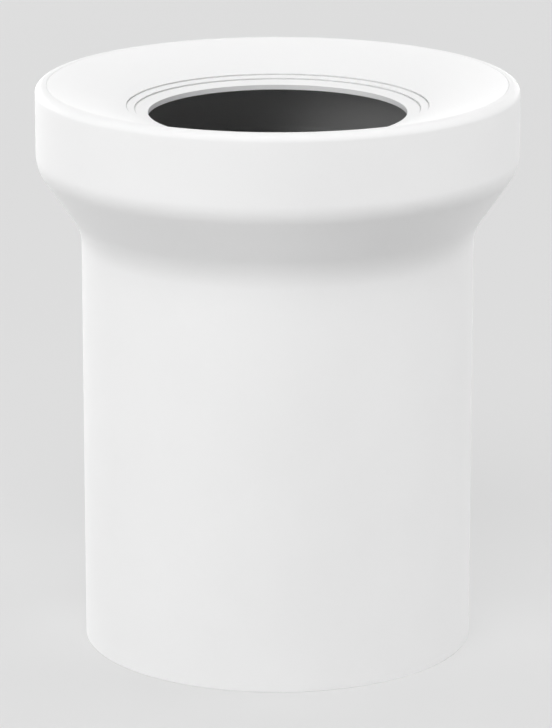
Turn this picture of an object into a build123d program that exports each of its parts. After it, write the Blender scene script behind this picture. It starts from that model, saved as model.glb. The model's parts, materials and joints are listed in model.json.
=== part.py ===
from build123d import *
import os
from math import cos, radians, tan

# Straight pan connector: a plain pipe that flares into a collar, with a soft lip seal in the collar.
# It stands on the pipe end. Z is the axis of the pipe, and Z = 0 is the pipe end.
# Lengths are in millimetres, angles in degrees.

# Body outside
pipe_diameter = 110.0  # plain spigot for a 110 mm soil pipe socket
total_height = 160.0
flare_step = 12.5  # how far the collar stands out from the pipe, all round
flare_angle = 34.5  # slope of the flare, from the axis
collar_height = 22.6  # from the rim down to the corner where collar and flare meet
flare_root_radius = 15.0  # hollow of the bend from pipe to flare
flare_shoulder_radius = 13.0  # round of the bend from flare to collar
rim_crest = 0.3  # flat left on the rim, inside its rounded outer edge
pipe_end_chamfer = 0.5  # outer edge of the pipe end

# Body inside
wall = 3.2  # the same in pipe, flare and collar

# Seal skirt, which fits the collar and stands on a seat inside it
seal_clearance = 0.1  # between the collar and the skirt
skirt_wall = 3.0
skirt_depth = 13.0  # from the rim down to the seat

# Seal lip, a dished face that thins in two steps towards its hole
hole_diameter = 72.3
inner_land = 3.5  # width from the hole to the inner step
outer_land = 2.4  # width from the inner step to the outer step
step_height = 0.3
dish_angle = 15.6  # slope of the face, down towards the hole
land_angle = 13.0  # slope of the two lands
lip_thickness = 1.5  # at the hole
underside_angle = 14.0
lip_root_chamfer = 2.5  # under the lip, where it joins the skirt

# Radii and heights that follow
pipe_r = pipe_diameter / 2
bore_r = pipe_r - wall
collar_r = pipe_r + flare_step
collar_bore_r = collar_r - wall
seal_r = collar_bore_r - seal_clearance
skirt_bore_r = seal_r - skirt_wall
hole_r = hole_diameter / 2
inner_step_r = hole_r + inner_land
outer_step_r = inner_step_r + outer_land

flare_slope = tan(radians(flare_angle))
collar_z = total_height - collar_height
flare_z = collar_z - flare_step / flare_slope
seat_z = total_height - skirt_depth


def flare_inside_z(radius):
    """Height at which the inside of the flare, one wall in from its outside, has this radius."""
    return flare_z + (radius - pipe_r + wall / cos(radians(flare_angle))) / flare_slope


def corner(section, point):
    """The vertex of a half section at this point, a radius and a height."""
    return section.vertices().sort_by_distance(point)[0]


# Spigot body: pipe, flare and collar, moulded in one piece
pipe_end = (pipe_r, 0)
flare_root = (pipe_r, flare_z)
flare_shoulder = (collar_r, collar_z)
rim_outside = (collar_r, total_height)
flare_root_inside = (bore_r, flare_inside_z(bore_r))

with BuildPart() as spigot_body:
    with BuildSketch(Plane.XZ) as body_section:
        with BuildLine():
            Polyline(
                (bore_r, 0),
                pipe_end,
                flare_root,
                flare_shoulder,
                rim_outside,
                (collar_bore_r, total_height),
                (collar_bore_r, seat_z),
                (skirt_bore_r, seat_z),
                (skirt_bore_r, flare_inside_z(skirt_bore_r)),
                flare_root_inside,
                close=True,
            )
        make_face()
        chamfer(corner(body_section, pipe_end), pipe_end_chamfer)
        fillet(corner(body_section, flare_root), flare_root_radius)
        fillet(corner(body_section, flare_root_inside), flare_root_radius + wall)
        fillet(corner(body_section, flare_shoulder), flare_shoulder_radius)
        fillet(corner(body_section, rim_outside), wall - rim_crest)
    revolve(axis=Axis.Z)
spigot_body.part.label = "spigot_body"

# Lip seal: skirt and stepped lip, moulded in one piece
dish_slope = tan(radians(dish_angle))
land_slope = tan(radians(land_angle))
outer_step_z = total_height - (seal_r - outer_step_r) * dish_slope
outer_land_z = outer_step_z - step_height
inner_step_z = outer_land_z - outer_land * land_slope
inner_land_z = inner_step_z - step_height
hole_top_z = inner_land_z - inner_land * land_slope
hole_bottom_z = hole_top_z - lip_thickness

lip_root = (skirt_bore_r, hole_bottom_z + (skirt_bore_r - hole_r) * tan(radians(underside_angle)))

with BuildPart() as lip_seal:
    with BuildSketch(Plane.XZ) as seal_section:
        with BuildLine():
            Polyline(
                (skirt_bore_r, seat_z),
                (seal_r, seat_z),
                (seal_r, total_height),
                (outer_step_r, outer_step_z),
                (outer_step_r, outer_land_z),
                (inner_step_r, inner_step_z),
                (inner_step_r, inner_land_z),
                (hole_r, hole_top_z),
                (hole_r, hole_bottom_z),
                lip_root,
                close=True,
            )
        make_face()
        chamfer(corner(seal_section, lip_root), lip_root_chamfer)
    revolve(axis=Axis.Z)
lip_seal.part.label = "lip_seal"

os.makedirs("parts", exist_ok=True)
export_step(spigot_body.part, "parts/spigot_body.step")
export_step(lip_seal.part, "parts/lip_seal.step")
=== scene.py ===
import json
import math

import bmesh
import bpy
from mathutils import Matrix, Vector


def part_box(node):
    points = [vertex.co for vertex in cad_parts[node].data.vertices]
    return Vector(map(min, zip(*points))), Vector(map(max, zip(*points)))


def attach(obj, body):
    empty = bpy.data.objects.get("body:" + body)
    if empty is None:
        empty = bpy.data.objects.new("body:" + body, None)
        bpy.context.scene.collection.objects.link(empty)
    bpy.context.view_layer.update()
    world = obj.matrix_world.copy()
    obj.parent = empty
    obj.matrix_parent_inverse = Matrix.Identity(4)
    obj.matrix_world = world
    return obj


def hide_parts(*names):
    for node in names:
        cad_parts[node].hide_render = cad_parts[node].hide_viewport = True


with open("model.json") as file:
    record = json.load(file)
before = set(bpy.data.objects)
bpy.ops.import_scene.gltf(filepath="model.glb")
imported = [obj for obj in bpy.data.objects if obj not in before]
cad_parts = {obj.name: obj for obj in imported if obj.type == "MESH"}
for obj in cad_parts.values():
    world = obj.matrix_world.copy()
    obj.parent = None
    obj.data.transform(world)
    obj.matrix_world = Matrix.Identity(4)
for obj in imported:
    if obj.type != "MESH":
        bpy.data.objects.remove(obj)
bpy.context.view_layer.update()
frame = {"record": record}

# Spigot body: the rigid piece, a pipe that flares into a wider collar, with the same wall all the way.
# White polypropylene, injection moulded in one shot over a core, so its outside has no seam.
# Its plain end goes into a soil pipe's socket, and a flat seat inside the collar carries the seal.

# Sizes are in millimetres, as in the solids. The meshes and the scene are in metres.
mounts = {mount["name"]: mount for mount in frame["record"]["mounts"]}
body_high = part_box("spigot_body")[1] * 1000
seal_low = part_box("lip_seal")[0] * 1000

total_height = body_high.z
pipe_r = mounts["soil_spigot"]["dims"]["r_mm"]
bore_r = mounts["waste_bore"]["dims"]["r_mm"]
wall = pipe_r - bore_r
collar_r = body_high.x
collar_bore_r = collar_r - wall
seat_z = seal_low.z
seat_width = 3.1
seat_r = collar_bore_r - seat_width

collar_height = 22.6
flare_angle = math.radians(34.5)
flare_slope = math.tan(flare_angle)
collar_z = total_height - collar_height
flare_z = collar_z - (collar_r - pipe_r) / flare_slope
flare_inside_z = flare_z + wall / math.cos(flare_angle) / flare_slope

flare_root_round = 15.0
flare_shoulder_round = 10.0
rim_round = 2.3
pipe_end_round = 0.12
bore_edge_round = 0.3
chamber_bend_round = 2.0
seam_edge_round = 0.05
seat_edge_round = 0.2


def turned(name, outline, steps_round=256, degrees_a_step=4.0):
    """A ring turned about Z from a closed outline of (radius, height, rounding) corners, in millimetres.

    The outline runs anticlockwise, with the solid on its left. Each corner is rounded by an arc, and
    the normals are those of the true surface, so flats stay flat right up to their rounded edges.
    """
    profile = []
    for (r0, z0, _), (r, z, rounding), (r1, z1, _) in zip(
        outline[-1:] + outline[:-1], outline, outline[1:] + outline[:1]
    ):
        into = Vector((r - r0, z - z0)).normalized()
        away = Vector((r1 - r, z1 - z)).normalized()
        turn = math.atan2(into.x * away.y - into.y * away.x, into.dot(away))
        tangent = rounding * math.tan(abs(turn) / 2)
        start = Vector((r, z)) - tangent * into
        side = math.copysign(1.0, turn)
        centre = start + side * rounding * Vector((-into.y, into.x))
        steps = max(2, math.ceil(math.degrees(abs(turn)) / degrees_a_step))
        for step in range(steps + 1):
            angle = math.atan2(-into.x, into.y) + turn * step / steps
            normal = Vector((math.cos(angle), math.sin(angle)))
            profile.append((centre + side * rounding * normal, normal))

    mesh = bpy.data.meshes.new(name)
    shape = bmesh.new()
    normals = []
    rings = []
    for step in range(steps_round):
        angle = math.tau * step / steps_round
        along_x, along_y = math.cos(angle), math.sin(angle)
        ring = []
        for point, normal in profile:
            place = (point.x * along_x / 1000, point.x * along_y / 1000, point.y / 1000)
            ring.append(shape.verts.new(place))
            normals.append((normal.x * along_x, normal.x * along_y, normal.y))
        rings.append(ring)
    for ring, next_ring in zip(rings, rings[1:] + rings[:1]):
        for i in range(len(profile)):
            j = (i + 1) % len(profile)
            shape.faces.new((ring[i], next_ring[i], next_ring[j], ring[j])).smooth = True
    shape.to_mesh(mesh)
    shape.free()
    mesh.normals_split_custom_set_from_vertices(normals)
    piece = bpy.data.objects.new(name, mesh)
    bpy.context.scene.collection.objects.link(piece)
    return piece


spigot_body = turned(
    "spigot_body_moulding",
    [
        (bore_r, 0, bore_edge_round),
        (pipe_r, 0, pipe_end_round),
        (pipe_r, flare_z, flare_root_round),
        (collar_r, collar_z, flare_shoulder_round),
        (collar_r, total_height, rim_round),
        (collar_bore_r, total_height, seam_edge_round),
        (collar_bore_r, seat_z, seat_edge_round),
        (seat_r, seat_z, seat_edge_round),
        (seat_r, flare_inside_z + (seat_r - pipe_r) / flare_slope, chamber_bend_round),
        (bore_r, flare_inside_z + (bore_r - pipe_r) / flare_slope, flare_root_round + wall),
    ],
)

# Pigmented polypropylene off a fine-blasted tool: a soft white with a wide, faint sheen, an orange peel
# that only shows in that sheen, and cloudy patches where the melt cooled at different speeds.
# Inside, below the seat, the white is painted greyer: a painted shade for the shade that falls in the
# bore.
# A face is inside where it lies below the seat and looks towards the axis, by enough to leave the level
# faces out.
peel_size = 1.2
peel_depth = 0.006
cloud_size = 28.0
cloud_white, clear_white, painted_shade_grey = "#F0F0F0", "#F4F4F4", "#B2B2B2"
satin_low, satin_high = 0.56, 0.64
noise_low, noise_high = 0.3, 0.7  # where most of a noise texture's values lie
towards_axis = -0.001


def linear(colour):
    """An sRGB hex colour as linear RGB with full alpha."""
    parts = [int(colour[i:i + 2], 16) / 255 for i in (1, 3, 5)]
    return [c / 12.92 if c <= 0.04045 else ((c + 0.055) / 1.055) ** 2.4 for c in parts] + [1.0]


def add_node(tree, kind, values=None, links=None, **settings):
    """Adds a node: settings are its properties, values go on its sockets, links feed them.

    A socket goes by its name or its number. A Mix node's factor is input 0, its two colours are inputs
    6 and 7, and its mixed colour is output 2.
    """
    made = tree.nodes.new(kind)
    for key, value in settings.items():
        setattr(made, key, value)
    for socket, value in (values or {}).items():
        made.inputs[socket].default_value = value
    for socket, source in (links or {}).items():
        tree.links.new(source, made.inputs[socket])
    return made


polypropylene = bpy.data.materials.new("polypropylene_moulded_satin")
polypropylene.use_nodes = True
tree = polypropylene.node_tree
shader = tree.nodes["Principled BSDF"]
shader.inputs["IOR"].default_value = 1.49
place = add_node(tree, "ShaderNodeTexCoord").outputs["Object"]
clouds = add_node(
    tree, "ShaderNodeTexNoise", values={"Scale": 1000 / cloud_size, "Detail": 3.0}, links={"Vector": place}
)
white = add_node(
    tree,
    "ShaderNodeMix",
    data_type="RGBA",
    values={6: linear(cloud_white), 7: linear(clear_white)},
    links={0: clouds.outputs["Fac"]},
)
place_flat = add_node(
    tree, "ShaderNodeVectorMath", operation="MULTIPLY", values={1: (1, 1, 0)}, links={0: place}
)
outwards = add_node(
    tree,
    "ShaderNodeVectorMath",
    operation="DOT_PRODUCT",
    links={0: place_flat.outputs[0], 1: add_node(tree, "ShaderNodeNewGeometry").outputs["Normal"]},
)
looks_in = add_node(
    tree,
    "ShaderNodeMath",
    operation="LESS_THAN",
    values={1: towards_axis},
    links={0: outwards.outputs["Value"]},
)
place_z = add_node(tree, "ShaderNodeSeparateXYZ", links={0: place}).outputs["Z"]
below_seat = add_node(
    tree, "ShaderNodeMath", operation="LESS_THAN", values={1: seat_z / 1000}, links={0: place_z}
)
inside = add_node(
    tree, "ShaderNodeMath", operation="MULTIPLY", links={0: looks_in.outputs[0], 1: below_seat.outputs[0]}
)
# Painted shade: faces inside the bore get a grey in place of the white, to darken the bore.
white_with_painted_shade = add_node(
    tree,
    "ShaderNodeMix",
    data_type="RGBA",
    values={7: linear(painted_shade_grey)},
    links={0: inside.outputs[0], 6: white.outputs[2]},
)
satin = add_node(
    tree,
    "ShaderNodeMapRange",
    values={"From Min": noise_low, "From Max": noise_high, "To Min": satin_low, "To Max": satin_high},
    links={"Value": clouds.outputs["Fac"]},
)
peel = add_node(
    tree, "ShaderNodeTexNoise", values={"Scale": 1000 / peel_size, "Detail": 1.0}, links={"Vector": place}
)
relief = add_node(
    tree, "ShaderNodeBump", values={"Distance": peel_depth / 1000}, links={"Height": peel.outputs["Fac"]}
)
for socket, source in (
    ("Base Color", white_with_painted_shade.outputs[2]),
    ("Roughness", satin.outputs["Result"]),
    ("Normal", relief.outputs["Normal"]),
):
    tree.links.new(source, shader.inputs[socket])

spigot_body.data.materials.append(polypropylene)
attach(spigot_body, "root")
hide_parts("spigot_body")

# Lip seal: a soft ring that is pressed into the collar, which it fills, and stands on the seat inside it.
# White thermoplastic elastomer, moulded, its dished lip thinning in two fine steps, undercut at the foot.
# The pan's outlet is pushed through the hole and stretches the lip round itself.

hole_r = mounts["pan_inlet"]["dims"]["r_mm"]
lip_thickness = mounts["pan_inlet"]["dims"]["length_mm"]
seam_gap = 0.05
seal_r = collar_bore_r - seam_gap
inner_land = 3.8
outer_land = 2.3
step_height = 0.3
dish_slope = math.tan(math.radians(15.6))
land_slope = math.tan(math.radians(13.0))
underside_slope = math.tan(math.radians(14.0))

inner_step_r = hole_r + inner_land
outer_step_r = inner_step_r + outer_land
outer_step_z = total_height - (seal_r - outer_step_r) * dish_slope
outer_land_z = outer_step_z - step_height
inner_step_z = outer_land_z - outer_land * land_slope
inner_land_z = inner_step_z - step_height
hole_top_z = inner_land_z - inner_land * land_slope
hole_bottom_z = hole_top_z - lip_thickness
lip_root_z = hole_bottom_z + (seat_r - hole_r) * underside_slope

notch_width = 0.32
notch_depth = 0.6
notch_lean = 0.5
step_round = 0.02
hole_top_round = 0.05
hole_bottom_round = 0.1
seal_edge_round = 0.08
skirt_foot_round = 0.3
lip_root_round = 3.0

lip_seal = turned(
    "lip_seal_moulding",
    [
        (seat_r, seat_z, seat_edge_round),
        (seal_r, seat_z, skirt_foot_round),
        (seal_r, total_height, seal_edge_round),
        (outer_step_r, outer_step_z, step_round),
        (outer_step_r + notch_lean, outer_land_z - notch_depth, step_round),
        (outer_step_r - notch_width, outer_land_z - notch_width * land_slope, step_round),
        (inner_step_r, inner_step_z, step_round),
        (inner_step_r + notch_lean, inner_land_z - notch_depth, step_round),
        (inner_step_r - notch_width, inner_land_z - notch_width * land_slope, step_round),
        (hole_r, hole_top_z, hole_top_round),
        (hole_r, hole_bottom_z, hole_bottom_round),
        (seat_r, lip_root_z, lip_root_round),
    ],
)

# Thermoplastic elastomer off a grained tool: a whiter, softer white than the body, nearly matt, with a
# fine dry grain and a faint bloom in patches. The real grain is about 0.1 mm across and is drawn coarser,
# so that it shows at all.
grain_size = 0.5
grain_depth = 0.006
bloom_size = 22.0
bloom_white, bare_white = "#F2F2F2", "#F6F6F6"
matt_low, matt_high = 0.5, 0.6

elastomer = bpy.data.materials.new("thermoplastic_elastomer_moulded_matt")
elastomer.use_nodes = True
tree = elastomer.node_tree
shader = tree.nodes["Principled BSDF"]
shader.inputs["IOR"].default_value = 1.5
place = add_node(tree, "ShaderNodeTexCoord").outputs["Object"]
bloom = add_node(
    tree, "ShaderNodeTexNoise", values={"Scale": 1000 / bloom_size, "Detail": 3.0}, links={"Vector": place}
)
white = add_node(
    tree,
    "ShaderNodeMix",
    data_type="RGBA",
    values={6: linear(bloom_white), 7: linear(bare_white)},
    links={0: bloom.outputs["Fac"]},
)
matt = add_node(
    tree,
    "ShaderNodeMapRange",
    values={"From Min": noise_low, "From Max": noise_high, "To Min": matt_low, "To Max": matt_high},
    links={"Value": bloom.outputs["Fac"]},
)
grain = add_node(
    tree, "ShaderNodeTexNoise", values={"Scale": 1000 / grain_size, "Detail": 1.0}, links={"Vector": place}
)
relief = add_node(
    tree, "ShaderNodeBump", values={"Distance": grain_depth / 1000}, links={"Height": grain.outputs["Fac"]}
)
for socket, source in (
    ("Base Color", white.outputs[2]),
    ("Roughness", matt.outputs["Result"]),
    ("Normal", relief.outputs["Normal"]),
):
    tree.links.new(source, shader.inputs[socket])

lip_seal.data.materials.append(elastomer)
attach(lip_seal, "root")
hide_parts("lip_seal")

# Floor: a plain pale sheet of studio paper that the connector stands on, not part of it. Where it is seen
# it is mostly an even pale grey, with some of its own shading kept so that the connector's shadow shows,
# and inside the pipe with all of it. To the connector it is a grey sheet that throws light up.

paper_grey = linear("#DFDFDF")
paper_bounce_grey = linear("#BDBDBD")
evenness = 0.7
floor_half_width = 4.0  # in metres

floor_mesh = bpy.data.meshes.new("studio_floor")
shape = bmesh.new()
bmesh.ops.create_grid(shape, x_segments=1, y_segments=1, size=floor_half_width)
shape.to_mesh(floor_mesh)
shape.free()
floor = bpy.data.objects.new("studio_floor", floor_mesh)
bpy.context.scene.collection.objects.link(floor)


def seen_directly(tree):
    """A factor that is 1 for what the camera sees straight, in a reflection or through glass."""
    rays = add_node(tree, "ShaderNodeLightPath")
    mirrored = add_node(
        tree,
        "ShaderNodeMath",
        operation="MAXIMUM",
        links={0: rays.outputs["Is Glossy Ray"], 1: rays.outputs["Is Transmission Ray"]},
    )
    seen = add_node(
        tree,
        "ShaderNodeMath",
        operation="MAXIMUM",
        links={0: rays.outputs["Is Camera Ray"], 1: mirrored.outputs[0]},
    )
    return seen.outputs[0]


paper = bpy.data.materials.new("studio_paper_pale_grey")
paper.use_nodes = True
tree = paper.node_tree
tree.nodes.clear()
bounce = add_node(tree, "ShaderNodeBsdfDiffuse", values={"Color": paper_bounce_grey})
shaded = add_node(tree, "ShaderNodeBsdfDiffuse", values={"Color": paper_grey})
even = add_node(tree, "ShaderNodeEmission", values={"Color": paper_grey})
place = add_node(tree, "ShaderNodeTexCoord").outputs["Object"]
from_axis = add_node(tree, "ShaderNodeVectorMath", operation="LENGTH", links={0: place})
outside_pipe = add_node(
    tree,
    "ShaderNodeMath",
    operation="GREATER_THAN",
    values={1: pipe_r / 1000},
    links={0: from_axis.outputs["Value"]},
)
even_share = add_node(
    tree, "ShaderNodeMath", operation="MULTIPLY", values={1: evenness}, links={0: outside_pipe.outputs[0]}
)
pale = add_node(
    tree,
    "ShaderNodeMixShader",
    links={0: even_share.outputs[0], 1: shaded.outputs[0], 2: even.outputs[0]},
)
mixed = add_node(
    tree, "ShaderNodeMixShader", links={0: seen_directly(tree), 1: bounce.outputs[0], 2: pale.outputs[0]}
)
add_node(tree, "ShaderNodeOutputMaterial", links={0: mixed.outputs[0]})
floor.data.materials.append(paper)

# Light: four soft boxes overhead, a wide low one behind, six low strips round the floor and an accent.
# The strips light the sides at a height from which nothing falls into the hole, and the accent reaches
# in under the lip. The backdrop shows behind the connector and in its sheen, but lights nothing itself.

world = bpy.data.worlds.new("studio_backdrop")
bpy.context.scene.world = world
world.use_nodes = True
tree = world.node_tree
tree.nodes.clear()
backdrop = add_node(
    tree, "ShaderNodeBackground", values={"Color": paper_grey}, links={"Strength": seen_directly(tree)}
)
add_node(tree, "ShaderNodeOutputWorld", links={0: backdrop.outputs[0]})

# Lengths are in metres, azimuths and elevations in degrees and powers in watts.
lamp_distance = 2.2
softbox_size = 1.2
low_softbox_length, low_softbox_height = 2.2, 0.6
strip_length, strip_height, strip_elevation = 1.0, 0.25, 4
accent_size = 0.8

middle = Vector((0, 0, total_height / 2 / 1000))
for name, azimuth, elevation, width, height, power in (
    ("key_softbox", -95, 53, softbox_size, softbox_size, 27),
    ("back_softbox", 90, 50, softbox_size, softbox_size, 8),
    ("left_softbox", 175, 40, softbox_size, softbox_size, 7),
    ("right_softbox", 5, 40, softbox_size, softbox_size, 13),
    ("low_back_softbox", 90, 14, low_softbox_length, low_softbox_height, 6),
    ("front_left_strip", -120, strip_elevation, strip_length, strip_height, 5.5),
    ("front_right_strip", -40, strip_elevation, strip_length, strip_height, 5.5),
    ("right_strip", 15, strip_elevation, strip_length, strip_height, 11.5),
    ("back_right_strip", 72, strip_elevation, strip_length, strip_height, 5),
    ("back_left_strip", 120, strip_elevation, strip_length, strip_height, 21),
    ("left_strip", 160, strip_elevation, strip_length, strip_height, 8.5),
    ("accent_lamp", -130, 19, accent_size, accent_size, 10.5),
):
    lamp = bpy.data.lights.new(name, "AREA")
    lamp.shape = "RECTANGLE"
    lamp.size = width
    lamp.size_y = height
    lamp.energy = power
    holder = bpy.data.objects.new(name, lamp)
    turn, tilt = math.radians(azimuth), math.radians(elevation)
    towards = Vector((math.cos(tilt) * math.cos(turn), math.cos(tilt) * math.sin(turn), math.sin(tilt)))
    holder.location = middle + lamp_distance * towards
    holder.rotation_euler = (-towards).to_track_quat("-Z", "Y").to_euler()
    holder.visible_camera = False
    bpy.context.scene.collection.objects.link(holder)

bpy.context.scene.view_settings.view_transform = "Standard"

# Camera: square on to the connector and looking down on it a little, from just over a metre away.
# The long lens keeps the pipe's sides nearly parallel.

image_height_px = 728
focal_length_px = 4285
look_down = math.radians(15.53)
camera_place = (-0.00045, -1.1694, 0.4037)

camera_data = bpy.data.cameras.new("camera")
camera_data.sensor_fit = "VERTICAL"
camera_data.sensor_height = 36.0
camera_data.lens = focal_length_px / image_height_px * camera_data.sensor_height
camera = bpy.data.objects.new("camera", camera_data)
camera.location = camera_place
camera.rotation_euler = (math.radians(90) - look_down, 0, 0)
bpy.context.scene.collection.objects.link(camera)
bpy.context.scene.camera = camera
